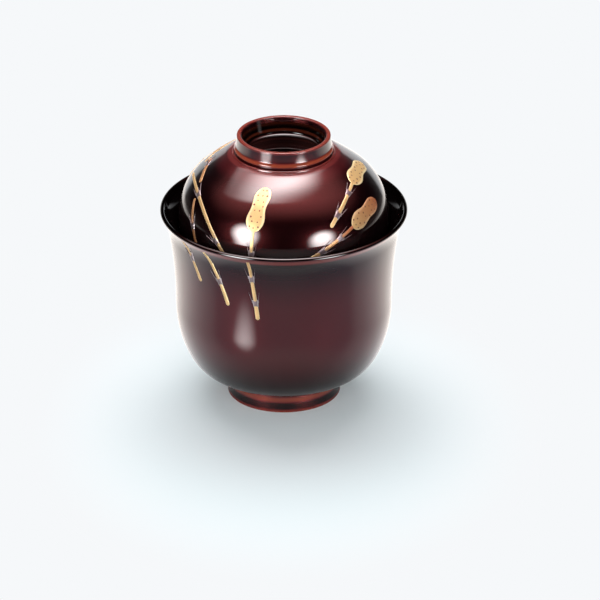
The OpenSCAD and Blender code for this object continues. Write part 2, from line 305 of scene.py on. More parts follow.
# Metal powder's colour: pale along the raised outline and deep inside it, uneven with the grains.
# Returns the grains as well.
def addPowder(tree, look):
    place = addNode(tree, "ShaderNodeTexCoord")
    grains = addNode(tree, "ShaderNodeTexNoise", inputs={
        "Vector": place.outputs["Object"], "Scale": 1000 / look["grain"], "Detail": 2.0})
    edge = addNode(tree, "ShaderNodeAttribute", {"attribute_name": "outlineShare"})
    powder = addNode(tree, "ShaderNodeMath", {"operation": "MULTIPLY_ADD"}, {
        0: grains.outputs["Fac"], 1: look["grainShare"], 2: look["plainShare"]})
    paleShare = addNode(tree, "ShaderNodeMath", {"operation": "ADD", "use_clamp": True}, {
        0: edge.outputs["Fac"], 1: powder.outputs[0]})
    metal = addNode(tree, "ShaderNodeMix", {"data_type": "RGBA"}, {
        0: paleShare.outputs[0], 6: toLinear(look["deep"]), 7: toLinear(look["pale"])})
    return grains, metal


sprinkledGold = {"pale": "#f0dca6", "deep": "#c99d56", "red": "#a8522a",
                 "grainShare": -0.5, "plainShare": 0.62, "metallic": 0.3, "roughness": 0.45,
                 "grain": 0.35, "grainDepth": 0.03}   # mm


# Gold powder sprinkled on wet lacquer, built up and burnished: a warm satin metal, paler along
# the raised outline and redder by each shoot's red share, which is partly the gold's own tone and,
# on the redder shoots at the lid's left, painted shade. Real grains are under 0.1 mm and would
# not show, so they are drawn about 0.35 mm across.
def makeSprinkledGold(look):
    material, tree, shader = newMaterial("sprinkledGoldPowder")
    grains, metal = addPowder(tree, look)
    tone = addNode(tree, "ShaderNodeAttribute", {"attribute_name": "redAndShadeShare"})
    colour = addNode(tree, "ShaderNodeMix", {"data_type": "RGBA"}, {
        0: tone.outputs["Fac"], 6: metal.outputs[2], 7: toLinear(look["red"])})
    bump = addNode(tree, "ShaderNodeBump", inputs={
        "Height": grains.outputs["Fac"], "Distance": look["grainDepth"] / 1000, "Strength": 0.5})
    tree.links.new(colour.outputs[2], shader.inputs["Base Color"])
    tree.links.new(bump.outputs["Normal"], shader.inputs["Normal"])
    shader.inputs["Metallic"].default_value = look["metallic"]
    shader.inputs["Roughness"].default_value = look["roughness"]
    return material


sprinkledSilver = {"pale": "#aea2a4", "deep": "#57494e", "grainShare": 0.5, "plainShare": -0.1,
                   "metallic": 0.5, "roughness": 0.4, "grain": 0.3}   # mm


# Silver powder sprinkled in the same way, gone grey with age: a dull cool metal with paler
# drawn lines.
def makeSprinkledSilver(look):
    material, tree, shader = newMaterial("sprinkledSilverPowder")
    metal = addPowder(tree, look)[1]
    tree.links.new(metal.outputs[2], shader.inputs["Base Color"])
    shader.inputs["Metallic"].default_value = look["metallic"]
    shader.inputs["Roughness"].default_value = look["roughness"]
    return material


brownDot = {"dark": "#5c2c14", "light": "#8a4f26", "roughness": 0.3, "cloudSize": 1.1111}   # mm


# Brown lacquer dotted onto the gold with a fine brush: small glossy beads, uneven in depth.
def makeBrownDots(look):
    material, tree, shader = newMaterial("brownLacquerDots")
    place = addNode(tree, "ShaderNodeTexCoord")
    uneven = addNode(tree, "ShaderNodeTexNoise", inputs={
        "Vector": place.outputs["Object"], "Scale": 1000 / look["cloudSize"]})
    colour = addNode(tree, "ShaderNodeMix", {"data_type": "RGBA"}, {
        0: uneven.outputs["Fac"], 6: toLinear(look["dark"]), 7: toLinear(look["light"])})
    tree.links.new(colour.outputs[2], shader.inputs["Base Color"])
    shader.inputs["Roughness"].default_value = look["roughness"]
    return material


lacquerOutside = makeRedBrownLacquer(redBrownLacquer)
lacquerInside = makeBlackLacquer(blackLacquer)
wood = makeTurnedWood(turnedWood)
gold = makeSprinkledGold(sprinkledGold)
silver = makeSprinkledSilver(sprinkledSilver)
brownDots = makeBrownDots(brownDot)
print("finishes made")

coat = 0.3   # mm, every lacquer coat


# A coat is the run of a surface and the wood's skin under it, as one closed outline
def coatLoop(surface):
    return join(surface, list(reversed(inset(surface, coat))))


bowl = {
    "lipCentre": (47.6, 78.3), "lipRadius": 0.9, "flareAngle": 54.0,
    "wall": [(22.4, 8.2, 15), (30.682, 11.38, 26), (37.853, 18.853, 63), (42.6, 40, 90),
             (45.25, 70.5, 80.3), (48.3281, 77.771, 54)],
    "wallDepths": [0, 4.2, 4.2, 3.7, 3.9, 1.8],
    "floorZ": 10.0, "creaseAngle": -165, "waist": (21.2, 7.0), "footWallAngle": 7.64,
    "footRadius": 22.3, "footEdge": 0.6, "footEdgeAngle": 50.0,
    "footInner": 19.4, "wellTop": 6.0, "wellFillet": 1.2, "wellLean": 4.0,
    # how thick the coat is on the standing face, and how far the wood keeps inside that face
    "faceCoat": 0.12, "faceInset": 0.35,
    # radius, height, reach and strength of the red: coat rubbed thin at the lip and the foot's edge,
    # an orange band just below the crease, and a wide faint painted red glow over the belly
    "wearAndGlowOutside": [(48.1, 77.0, 1.7, 0.5), (21.4, 5.1, 1.6, 0.9), (22.3, 0.2, 1.4, 0.75),
                    (42.5, 44.0, 30.0, 0.15)],
    "thinUnderFoot": [(21.0, 0.0, 1.6, 0.5)]}

lip = arc(bowl["lipCentre"], bowl["lipRadius"], 0, bowl["flareAngle"] - 90)
filletZ = bowl["wellTop"] - bowl["wellFillet"]
filletRadius = (bowl["footInner"] - filletZ * math.tan(math.radians(bowl["wellLean"]))
                - bowl["wellFillet"])
footWell = join([Vector((bowl["footInner"], 0.0))],
                arc((filletRadius, filletZ), bowl["wellFillet"], 0, 90),
                [Vector((0.0, bowl["wellTop"]))])
footEdge = arc((bowl["footRadius"] - bowl["footEdge"],
                bowl["footEdge"] * math.sin(math.radians(bowl["footEdgeAngle"]))),
               bowl["footEdge"], bowl["footWallAngle"], -bowl["footEdgeAngle"])
bowlWall = outline(bowl["wall"])
crease = outline([(*bowl["wall"][0][:2], bowl["creaseAngle"]),
                  (*bowl["waist"], bowl["footWallAngle"] - 90)], steps=10)
bowlOutside = join(lip, list(reversed(bowlWall)), finer(join(crease, footEdge)))
innerStations = [(0.0, bowl["floorZ"], 0)] + [
    shifted(station, -depth) for station, depth in zip(bowl["wall"][1:], bowl["wallDepths"][1:])]
bowlInside = join(outline(innerStations),
                  arc(bowl["lipCentre"], bowl["lipRadius"], 90 + bowl["flareAngle"], 0, steps=18))

outerCoat = turn("bowlOuterLacquer", coatLoop(bowlOutside), lacquerOutside, bowl["wearAndGlowOutside"])
innerCoat = turn("bowlInnerLacquer", coatLoop(bowlInside), lacquerInside)
# The coat in the well comes down over the standing face as well
wellSkin = inset(footWell, coat)[1:]
standingEdge = footEdge[-1]
wellCoat = turn("footWellLacquer", join(
    [standingEdge], footWell, list(reversed(wellSkin)),
    [Vector((bowl["footInner"] + coat, bowl["faceCoat"])),
     Vector((standingEdge.x, bowl["faceCoat"]))]), lacquerOutside, bowl["thinUnderFoot"])
woodLoop = join(inset(join(bowlInside, bowlOutside), coat),
                [Vector((standingEdge.x - bowl["faceInset"], bowl["faceCoat"])),
                 Vector((bowl["footInner"] + bowl["faceInset"], bowl["faceCoat"]))], wellSkin)
bowlWood = turn("bowlTurnedWood", woodLoop, wood)
for piece, node in ((outerCoat, "bowl_outer_lacquer"), (innerCoat, "bowl_inner_lacquer"),
                    (wellCoat, "foot_well_lacquer"), (bowlWood, "bowl_core")):
    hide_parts(node)
    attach(piece, "bowl")
print("bowl turned")

lid = {
    "wallThickness": 2.5, "crownThickness": 3.0,
    "dome": [(20.3, 103.425, -29), (32.067, 95.4885, -38), (40.223, 83.226, -75),
             (41.244, 75.378, -90)],
    "edge": (40.944, 70.8, -99.7),
    # the ring, from the well over its lip and down to the groove
    "wellZ": 103.5, "wellRadius": 15.3, "wellFillet": 1.2, "blackUpTo": 108.4,
    "lipInside": (17.0, 109.95), "lipOutside": (17.95, 109.95), "lipEdge": 0.45,
    "gripTopAngle": -87, "gripWall": (18.72, 106.3, -82), "gripFootAngle": -66,
    "gripFootCentre": (18.85, 104.85), "softEdge": 0.55, "grooveRadius": 18.65, "gripBaseZ": 104.3,
    # the bead under the groove, and the dome's start beside it
    "ledgeInside": (19.3, 102.6), "ledgeRise": 0.1, "ledge": (19.7, 102.97), "ledgeEdge": 0.39,
    "ledgeAngle": -62, "domeStart": (20.12, 102.86, -9), "domeShoulder": (23.0, 101.87, -31),
    # red where the coat is rubbed thin, at the ring's lip, its foot and the bead; the faint red over
    # the ring's wall and the band round the ring's foot are painted reflection, and the wide faint red
    # over the dome's top is painted glow
    "wearAndGlowOutside": [(17.6, 110.3, 1.4, 0.7), (19.3, 105.2, 1.5, 1.0), (19.9, 103.3, 0.8, 0.5),
                    (18.5, 107.2, 3.0, 0.06), (21.0, 102.6, 1.9, 0.35), (21.0, 103.0, 9.0, 0.12)],
    # red bands in the well: a line at its fillet, and a faint band that softens the painted shade of
    # the black into the brown of the lip
    "redBandsInWell": [(15.3, 105.4, 0.8, 0.25), (16.4, 108.4, 1.6, 0.1)]}


# Place and heading on a rounding of the ring, where its wall runs at this angle
def onRounding(centre, radius, angle):
    return (*(Vector(centre) + radius * heading(angle + 90)), angle)


# The well's wall leans out evenly from its fillet to the lip. Its black, painted shade inside the
# ring, ends part of the way up.
wellFilletZ = lid["wellZ"] + lid["wellFillet"]
wellShare = (lid["blackUpTo"] - wellFilletZ) / (lid["lipInside"][1] - wellFilletZ)
lipInnerRadius = lid["lipInside"][0] - lid["lipEdge"]
wellTop = Vector((lid["wellRadius"] + wellShare * (lipInnerRadius - lid["wellRadius"]),
                  lid["blackUpTo"]))
well = join(
    [Vector((0.0, lid["wellZ"]))],
    arc((lid["wellRadius"] - lid["wellFillet"], wellFilletZ), lid["wellFillet"], -90, 0), [wellTop])
gripWall = outline([onRounding(lid["lipOutside"], lid["lipEdge"], lid["gripTopAngle"]),
                    lid["gripWall"],
                    onRounding(lid["gripFootCentre"], lid["softEdge"], lid["gripFootAngle"])])
grip = join(
    [wellTop],
    arc(lid["lipInside"], lid["lipEdge"], 180, 90),
    arc(lid["lipOutside"], lid["lipEdge"], 90, lid["gripTopAngle"] + 90),
    gripWall,
    arc(lid["gripFootCentre"], lid["softEdge"], lid["gripFootAngle"] + 90, -90),
    [Vector((lid["grooveRadius"], lid["gripBaseZ"])),
     Vector((lid["grooveRadius"], lid["ledgeInside"][1])), Vector(lid["ledgeInside"]),
     Vector((lid["ledgeInside"][0] + lid["ledgeRise"], lid["ledge"][1] + lid["ledgeEdge"]))],
    arc(lid["ledge"], lid["ledgeEdge"], 90, lid["ledgeAngle"] + 90))
dome = outline([lid["domeStart"], lid["domeShoulder"]] + lid["dome"][1:] + [lid["edge"]])
edgeRadius = lid["wallThickness"] / 2
edgeCentre = shifted(lid["edge"], edgeRadius)[:2]
edgeAngle = lid["edge"][2]
lidOutside = join(finer(grip + dome[:1], step=0.4), dome,
                  arc(edgeCentre, edgeRadius, edgeAngle + 90, edgeAngle))
lidInnerStations = [(0.0, lid["wellZ"] - lid["crownThickness"], 0)] + [
    shifted(station, lid["wallThickness"]) for station in lid["dome"][1:] + [lid["edge"]]]
lidInside = join(arc(edgeCentre, edgeRadius, edgeAngle, edgeAngle - 90),
                 list(reversed(outline(lidInnerStations))))

lidOuterCoat = turn("lidOuterLacquer", coatLoop(lidOutside), lacquerOutside, lid["wearAndGlowOutside"])
# The well inside the ring is coated black as painted shade, up to where the brown of its lip begins
gripWellCoat = turn("gripWellPaintedShade", coatLoop(finer(well)), lacquerInside, lid["redBandsInWell"])
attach(gripWellCoat, "lid")
lidInnerCoat = turn("lidInnerLacquer", coatLoop(lidInside), lacquerInside)
lidWood = turn("lidTurnedWood", inset(join(well, lidOutside, lidInside), coat), wood)
for piece, node in ((lidOuterCoat, "lid_outer_lacquer"), (lidInnerCoat, "lid_inner_lacquer"),
                    (lidWood, "lid_core")):
    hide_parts(node)
    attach(piece, "lid")
print("lid turned")

# In millimetres, apart from shares
shootLook = {
    # how high each kind of raised work stands, and how far the silver lies above the coat
    "headRise": 0.2, "stalkRise": 0.16, "sheathRise": 0.16, "toothRise": 0.14, "dotRise": 0.06,
    "sheathLift": 0.06, "toothLift": 0.08,
    "stalk": 1.7, "stalkTip": 1.3, "stalkStep": 0.8, "stalkRound": 0.9, "stalkInHead": 1.8,
    "headLength": 18.0, "lobe": 7.4, "waist": 5.8, "topLobe": 6.6, "headEnd": 0.05,
    "lobeAt": 0.26, "waistAt": 0.55, "topLobeAt": 0.8,
    # dots: rows of three and of two by turns, placed by share of the head's half width
    "dot": 0.4, "dotLift": 0.19, "firstDot": 0.9, "dotSpacing": 2.1, "dotRows": 8,
    "dotJitter": (0.25, 0.35), "dotSizes": (0.8, 1.15), "firstSeed": 7,
    "oddRow": (-0.62, 0.0, 0.62), "evenRow": (-0.34, 0.34), "noMiddle": (3, 5),
    # height and half width of a dot's outline, in shares of its size
    "dotOutline": ((-1, 0.05), (-0.7, 0.7), (0, 1), (0.7, 0.7), (1, 0.05)),
    # sheath, and its long and short teeth: how far out the tip goes, its height and its root
    "sheath": 3.2, "sheathLow": 0.56, "sheathHigh": 0.74, "tooth": 3.6, "toothWidth": 0.24,
    "toothFrom": 0.6, "teeth": ((0.9, 1.0, 1.0), (0.15, 0.55, 4 / 11)), "toothCurve": 1.3,
    "toothTaper": 0.8,
    # how the rim of raised work sinks into the coat, and where its pale outline starts
    "sunk": 0.03, "paleFrom": 0.62, "paleOver": 0.3}
keepAbove = 0.7   # mm, that a shoot keeps from the lower edge of its surface

# Each shoot: azimuth from the front and height of its anchor, lean to the right, bow, base and
# top of the stalk along the shoot, whether it has a head and how far its end leans over, sheaths,
# and redness of the gold at its base and its end. On the redder shoots at the lid's left, that
# redness is painted shade.
lidShoots = [
    {"azimuth": -56.7, "z": 87.477, "lean": -62, "bow": 4.32, "base": -19.8, "top": 24.84,
     "head": False, "swing": 0, "sheaths": [5.94, -15.66], "red": (0.15, 0.3)},
    {"azimuth": -128, "z": 91.728, "lean": -88, "bow": 0, "base": -16.2, "top": -9,
     "head": True, "swing": -0.9, "sheaths": [], "red": (0.2, 0.4)},
    {"azimuth": -86.8, "z": 96.633, "lean": -64.4, "bow": 0, "base": -7.56, "top": 7.2,
     "head": False, "swing": 0, "sheaths": [1.08], "red": (0.55, 0.75)},
    {"azimuth": -128, "z": 98.922, "lean": -84, "bow": 0, "base": -14.4, "top": -9,
     "head": True, "swing": 0.72, "sheaths": [], "red": (0.3, 0.5)},
    {"azimuth": -62.1, "z": 83.226, "lean": -27.1, "bow": 0, "base": -11.88, "top": 7.92,
     "head": False, "swing": 0, "sheaths": [-4.86], "red": (0.7, 0.6)},
    {"azimuth": -17.5, "z": 88.458, "lean": 1.3, "bow": 0, "base": -19.8, "top": -2.88,
     "head": True, "swing": 1.08, "sheaths": [-13.32], "red": (0.2, 0.0)},
    {"azimuth": 49, "z": 94.671, "lean": 60.6, "bow": 0, "base": -15.66, "top": 6.48,
     "head": True, "swing": 1.8, "sheaths": [-1.08, -12.6], "red": (0.1, 0.1)},
    {"azimuth": 39.4, "z": 83.553, "lean": 67.6, "bow": 0, "base": -19.08, "top": 1.98,
     "head": True, "swing": 1.08, "sheaths": [-6.84, -15.48], "red": (0.15, 1.0)}]
bowlShoots = [
    {"azimuth": -51.4, "z": 69.3, "lean": -21.6, "bow": 0, "base": -8.28, "top": 9,
     "head": False, "swing": 0, "sheaths": [-0.54], "red": (0.2, 0.35)},
    {"azimuth": -35.2, "z": 65.736, "lean": -21.6, "bow": 0.72, "base": -11.52, "top": 12.24,
     "head": False, "swing": 0, "sheaths": [-3.24], "red": (0.1, 0.2)},
    {"azimuth": -15.3, "z": 62.172, "lean": -6, "bow": 0, "base": -11.52, "top": 15.12,
     "head": False, "swing": 0, "sheaths": [4.5, -6.48], "red": (0.15, 0.3)}]


# Lays a flat drawing on a turned surface, aimed along the surface's own normal at the anchor
class SurfacePatch:
    def __init__(self, surface, azimuth, z, lean, probe=1.32):
        self.surface = surface
        self.lowest = min(point.y for point in surface) + keepAbove
        tilt = math.atan((radiusAt(surface, z - probe) - radiusAt(surface, z + probe)) / (2 * probe))
        self.frame = (Matrix.Rotation(math.radians(azimuth), 4, "Z")
                      @ Matrix.Translation((0, -radiusAt(surface, z), z))
                      @ Matrix.Rotation(math.pi / 2 - tilt, 4, "X")
                      @ Matrix.Rotation(math.radians(-lean), 4, "Z"))
        self.normal = (self.frame.to_3x3() @ Vector((0, 0, 1))).normalized()

    # The place on the surface under a point of the drawing, raised by a height
    def at(self, x, y, height, search=16.0, halvings=26, probe=0.3):
        start = self.frame @ Vector((x, y, 0))
        low, high = -search, search
        for _ in range(halvings):
            middle = (low + high) / 2
            p = start + self.normal * middle
            if math.hypot(p.x, p.y) > radiusAt(self.surface, p.z):
                high = middle
            else:
                low = middle
        p = start + self.normal * high
        slope = (radiusAt(self.surface, p.z + probe)
                 - radiusAt(self.surface, p.z - probe)) / (2 * probe)
        out = Vector((p.x, p.y, 0)).normalized() - Vector((0, 0, slope))
        return p + out.normalized() * height


# How far a stalk bends aside, at a place along it
def bowAt(shoot, y):
    u = (2 * y - shoot["base"] - shoot["top"]) / (shoot["top"] - shoot["base"])
    return shoot["bow"] * (1 / 3 - u * u)


# A raised band between rows of (left, right, y), swelling to its full height inside its edge. Rows
# too near the surface's lower edge are dropped. A store holds vertices, faces, and each vertex's
# share of outline and of red.
def addBand(store, patch, rows, look, height, red=(0, 0), lift=0.0, across=8):
    vertices, faces, edges, reds = store
    rows = [row for row in rows if patch.at((row[0] + row[1]) / 2, row[2], 0).z > patch.lowest]
    if len(rows) < 3:
        return
    first = len(vertices)
    count = len(rows)
    for i, (left, right, y) in enumerate(rows):
        endShare = min(i, count - 1 - i) / 2
        for j in range(across + 1):
            u = -math.cos(math.pi * j / across)
            x = (left + right) / 2 + (right - left) / 2 * u
            rise = math.sqrt(max(0.0, 1 - abs(u) ** 3)) * min(1.0, endShare + 0.001)
            sunk = look["sunk"] * (rise < 0.01)
            vertices.append(patch.at(x, y, lift + height * rise - sunk))
            edges.append(smooth((abs(u) - look["paleFrom"]) / look["paleOver"]))
            reds.append(red[0] + (red[1] - red[0]) * i / (count - 1))
    width = across + 1
    for i in range(count - 1):
        for j in range(across):
            a = first + i * width + j
            faces.append((a, a + 1, a + width + 1, a + width))


# The stalk, round at its base. It runs a little way under its head.
def addStalk(store, patch, shoot, look):
    base, stalk = shoot["base"], look["stalk"]
    reach = shoot["top"] + (look["stalkInHead"] if shoot["head"] else 0)
    steps = max(8, round((reach - base) / look["stalkStep"]))
    rows = []
    for i in range(steps + 1):
        share = i / steps
        y = base - stalk / 2 + (reach - base + stalk / 2) * share
        half = (stalk + (look["stalkTip"] - stalk) * share) / 2
        fromEnd = (y - base + stalk / 2) / look["stalkRound"]
        half *= math.sqrt(max(0.02, 1 - max(0.0, 1 - fromEnd) ** 2))
        rows.append((bowAt(shoot, y) - half, bowAt(shoot, y) + half, y))
    addBand(store, patch, rows, look, look["stalkRise"], shoot["red"])


# Half the head's width at a share of its length
def headHalf(t, look):
    waistAt = look["waistAt"]
    lobe, middle = ((look["lobe"], look["lobeAt"]) if t < waistAt
                    else (look["topLobe"], look["topLobeAt"]))
    blend = (1 + math.cos(math.pi * (t - middle) / (waistAt - middle))) / 2
    half = (look["waist"] + (lobe - look["waist"]) * blend) / 2
    return half * math.sqrt(max(0.0, 1 - (2 * t - 1) ** 6))


def addHead(store, patch, shoot, look, steps=40):
    rows = []
    for i in range(steps + 1):
        t = (1 - math.cos(math.pi * i / steps)) / 2
        half = max(look["headEnd"], headHalf(t, look))
        middle = shoot["swing"] * t * t
        rows.append((middle - half, middle + half, shoot["top"] + look["headLength"] * t))
    addBand(store, patch, rows, look, look["headRise"], shoot["red"], across=16)


def addDots(store, patch, shoot, look):
    jitterX, jitterY = look["dotJitter"]
    for i in range(1, look["dotRows"] + 1):
        y = shoot["top"] + look["dotSpacing"] * (i - 1 + look["firstDot"])
        t = (y - shoot["top"]) / look["headLength"]
        half = headHalf(t, look)
        for x in look["oddRow"] if i % 2 else look["evenRow"]:
            if x == 0.0 and i in look["noMiddle"]:
                continue
            px = shoot["swing"] * t * t + x * half + random.uniform(-jitterX, jitterX)
            py = y + random.uniform(-jitterY, jitterY)
            size = look["dot"] * random.uniform(*look["dotSizes"])
            rows = [(px - size * w, px + size * w, py + size * h) for h, w in look["dotOutline"]]
            addBand(store, patch, rows, look, look["dotRise"], lift=look["dotLift"], across=4)


# A sheath round the stalk's joint, with two long and two short teeth that stand away from it
def addSheath(store, patch, middle, y, look, steps=8):
    low, high = look["sheathLow"] * look["stalk"], look["sheathHigh"] * look["stalk"]
    shares = [i / steps for i in range(steps + 1)]
    halves = [low + (high - low) * share for share in shares]
    rows = [(middle - half, middle + half, y + look["sheath"] * share)
            for half, share in zip(halves, shares)]
    addBand(store, patch, rows, look, look["sheathRise"], lift=look["sheathLift"])
    run = look["sheath"] * (1 - look["toothFrom"])
    for side in (-1, 1):
        for tipX, tipY, root in look["teeth"]:
            rows = []
            for share in shares:
                x = middle + side * (high * root + tipX * share ** look["toothCurve"])
                half = look["toothWidth"] / 2 * (1 - look["toothTaper"] * share)
                rows.append((x - half, x + half,
                             y + look["sheath"] * look["toothFrom"]
                             + (run + look["tooth"] * tipY) * share))
            addBand(store, patch, rows, look, look["toothRise"], lift=look["toothLift"], across=4)


# Draws all shoots of one body as a gold piece, a silver piece and, where there are heads, dots
def drawShoots(prefix, body, surface, shoots, goldNode, silverNode, look):
    goldStore, silverStore, dotStore = ([], [], [], []), ([], [], [], []), ([], [], [], [])
    for number, shoot in enumerate(shoots):
        patch = SurfacePatch(surface, shoot["azimuth"], shoot["z"], shoot["lean"])
        addStalk(goldStore, patch, shoot, look)
        if shoot["head"]:
            addHead(goldStore, patch, shoot, look)
            random.seed(look["firstSeed"] + number)
            addDots(dotStore, patch, shoot, look)
        for y in shoot["sheaths"]:
            addSheath(silverStore, patch, bowAt(shoot, y), y, look)
    goldPiece = meshObject(prefix + "GoldShoots", goldStore[0], goldStore[1], gold,
                           {"outlineShare": goldStore[2], "redAndShadeShare": goldStore[3]})
    silverPiece = meshObject(prefix + "SilverSheaths", silverStore[0], silverStore[1], silver,
                             {"outlineShare": silverStore[2], "redAndShadeShare": silverStore[3]})
    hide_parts(goldNode)
    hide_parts(silverNode)
    pieces = [goldPiece, silverPiece]
    if dotStore[0]:
        pieces.append(meshObject(prefix + "HeadDots", dotStore[0], dotStore[1], brownDots))
    for piece in pieces:
        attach(piece, body)


drawShoots("lid", "lid", dome, lidShoots,
           "lid_gold_shoots", "lid_silver_sheaths", shootLook)
drawShoots("bowl", "bowl", outline(bowl["wall"][3:]), bowlShoots,
           "bowl_gold_shoots", "bowl_silver_sheaths", shootLook)
print("shoots drawn")

# Distances on the board are in millimetres
board = {
    "colour": "#dde7ea", "farColour": "#f6f8fa", "lift": 0.2, "frontEdge": 270.0,
    # it keeps its shading inside the first of these radii, and is plain past the second. The
    # rings that they are measured in lie forward of the bowl and reach further front to back.
    "nearRadius": 46.0, "farRadius": 102.0, "forward": 34.0, "depthShare": 0.75,
    # what the gloss mirrors of it: shaded up to glossNear, lit past glossFar with the strengths in
    # front and behind, clear in front of frontTo and beyond sideReach
    "glossNear": 30.0, "glossFar": 78.0, "coolFront": "#e4e6f6", "warmBack": "#fbf4ee",
    "glowFront": 0.62, "glowBack": 1.55, "turnFrom": -100.0, "turnTo": 50.0,
    "sideFrom": 330.0, "sideReach": 560.0, "frontFrom": -40.0, "frontTo": -58.0}


# A value that goes softly from one level to another between two lengths of a vector
def addSpread(tree, vector, near, far, start=0.0, end=1.0):
    distance = addNode(tree, "ShaderNodeVectorMath", {"operation": "LENGTH"}, {0: vector})
    return addNode(tree, "ShaderNodeMapRange", {"interpolation_type": "SMOOTHSTEP"}, {
        "Value": distance.outputs["Value"], "From Min": near, "From Max": far,
        "To Min": start, "To Max": end}).outputs["Result"]


# The same, fading out
def addFade(tree, vector, near, far, most=1.0):
    return addSpread(tree, vector, near, far, most, 0.0)


# Pale painted board, matt: it keeps the bowl's soft shadow. The camera sees it with a faint glow of
# its own, painted light that lightens that shadow, and plain further off. To the gloss it is lit
# behind and at the sides, and open in front.
def makeFloorBoard(look):
    material, tree, principled = newMaterial("palePaintedBoard")
    tree.nodes.remove(principled)
    place = addNode(tree, "ShaderNodeNewGeometry")
    around = addNode(tree, "ShaderNodeMapping", inputs={
        "Vector": place.outputs["Position"],
        "Location": (0, look["forward"] / 1000 * look["depthShare"], 0),
        "Scale": (1, look["depthShare"], 1)})
    farShare = addSpread(tree, around.outputs["Vector"], look["nearRadius"] / 1000,
                         look["farRadius"] / 1000)
    glossShare = addSpread(tree, around.outputs["Vector"], look["glossNear"] / 1000,
                           look["glossFar"] / 1000)
    beyond = addSpread(tree, place.outputs["Position"], look["sideFrom"] / 1000,
                       look["sideReach"] / 1000)
    where = addNode(tree, "ShaderNodeSeparateXYZ", inputs={"Vector": place.outputs["Position"]})
    inFront = addNode(tree, "ShaderNodeMapRange", {"interpolation_type": "SMOOTHSTEP"}, {
        "Value": where.outputs["Y"], "From Min": look["frontTo"] / 1000,
        "From Max": look["frontFrom"] / 1000, "To Min": 1.0, "To Max": 0.0})
    cleared = addNode(tree, "ShaderNodeMath", {"operation": "MAXIMUM"}, {
        0: beyond, 1: inFront.outputs["Result"]})
    glow = addNode(tree, "ShaderNodeMapRange", {"interpolation_type": "SMOOTHSTEP"}, {
        "Value": where.outputs["Y"], "From Min": look["turnFrom"] / 1000,
        "From Max": look["turnTo"] / 1000, "To Min": look["glowFront"], "To Max": look["glowBack"]})
    backShare = addNode(tree, "ShaderNodeMapRange", inputs={
        "Value": where.outputs["Y"], "From Min": look["turnFrom"] / 1000,
        "From Max": look["turnTo"] / 1000})
    tone = addNode(tree, "ShaderNodeMix", {"data_type": "RGBA"}, {
        0: backShare.outputs["Result"], 6: toLinear(look["coolFront"]), 7: toLinear(look["warmBack"])})
    sides = addNode(tree, "ShaderNodeEmission", inputs={
        "Color": tone.outputs[2], "Strength": glow.outputs["Result"]})
    clear = addNode(tree, "ShaderNodeBsdfTransparent")
    aside = addNode(tree, "ShaderNodeMixShader", inputs={
        0: cleared.outputs[0], 1: sides.outputs["Emission"], 2: clear.outputs["BSDF"]})
    paint = addNode(tree, "ShaderNodeBsdfDiffuse", inputs={"Color": toLinear(look["colour"])})
    mirrored = addNode(tree, "ShaderNodeMixShader", inputs={
        0: glossShare, 1: paint.outputs["BSDF"], 2: aside.outputs["Shader"]})
    # painted light: the board's own faint glow, seen by the camera near the bowl, lightens its shadow
    lift = addNode(tree, "ShaderNodeEmission", inputs={
        "Color": toLinear(look["colour"]), "Strength": look["lift"]})
    glowLifted = addNode(tree, "ShaderNodeAddShader", inputs={
        0: paint.outputs["BSDF"], 1: lift.outputs["Emission"]})
    plain = addNode(tree, "ShaderNodeEmission", inputs={
        "Color": toLinear(look["farColour"]), "Strength": 1.0})
    seen = addNode(tree, "ShaderNodeMixShader", inputs={
        0: farShare, 1: glowLifted.outputs["Shader"], 2: plain.outputs["Emission"]})
    paths = addNode(tree, "ShaderNodeLightPath")
    unseen = addNode(tree, "ShaderNodeMixShader", inputs={
        0: paths.outputs["Is Glossy Ray"], 1: paint.outputs["BSDF"], 2: mirrored.outputs["Shader"]})
    mixed = addNode(tree, "ShaderNodeMixShader", inputs={
        0: paths.outputs["Is Camera Ray"], 1: unseen.outputs["Shader"], 2: seen.outputs["Shader"]})
    tree.links.new(mixed.outputs["Shader"], tree.nodes["Material Output"].inputs["Surface"])
    return material


floorMesh = bpy.data.meshes.new("floorBoard")
front = -board["frontEdge"] / 1000
floorMesh.from_pydata([(-4, front, 0), (4, front, 0), (4, 6, 0), (-4, 6, 0)], [], [(0, 1, 2, 3)])
floorMesh.materials.append(makeFloorBoard(board))
floor = bpy.data.objects.new("floorBoard", floorMesh)
bpy.context.scene.collection.objects.link(floor)

# Heights and widths here are parts of a unit direction from the bowl, and fades are shares of them
room = {
    "lightColour": "#ffffff", "lightStrength": 0.4, "backdropColour": "#fafafc",
    # the dark warm room that the gloss mirrors: it glows softly overhead, and a little at the sides
    "colour": "#ff8e8b", "ceilingGlow": 2.4, "ceilingFrom": 0.57, "ceilingCurve": 1.6,
    "sideLift": 0.3,
    # the pale backdrop behind the bowl, as the gloss mirrors it
    "backColour": "#f6f8fa", "backGlow": 1.1, "backWide": 0.56, "backHigh": 0.36,
    "backBelow": 0.087, "backFade": (0.82, 1.06),
    # the dim ground of the room in front
    "frontColour": "#e0e3f4", "frontGlow": 0.62, "frontRise": -0.6, "frontHalf": 0.44,
    "frontNarrow": 0.3, "frontFade": (0.88, 1.02)}


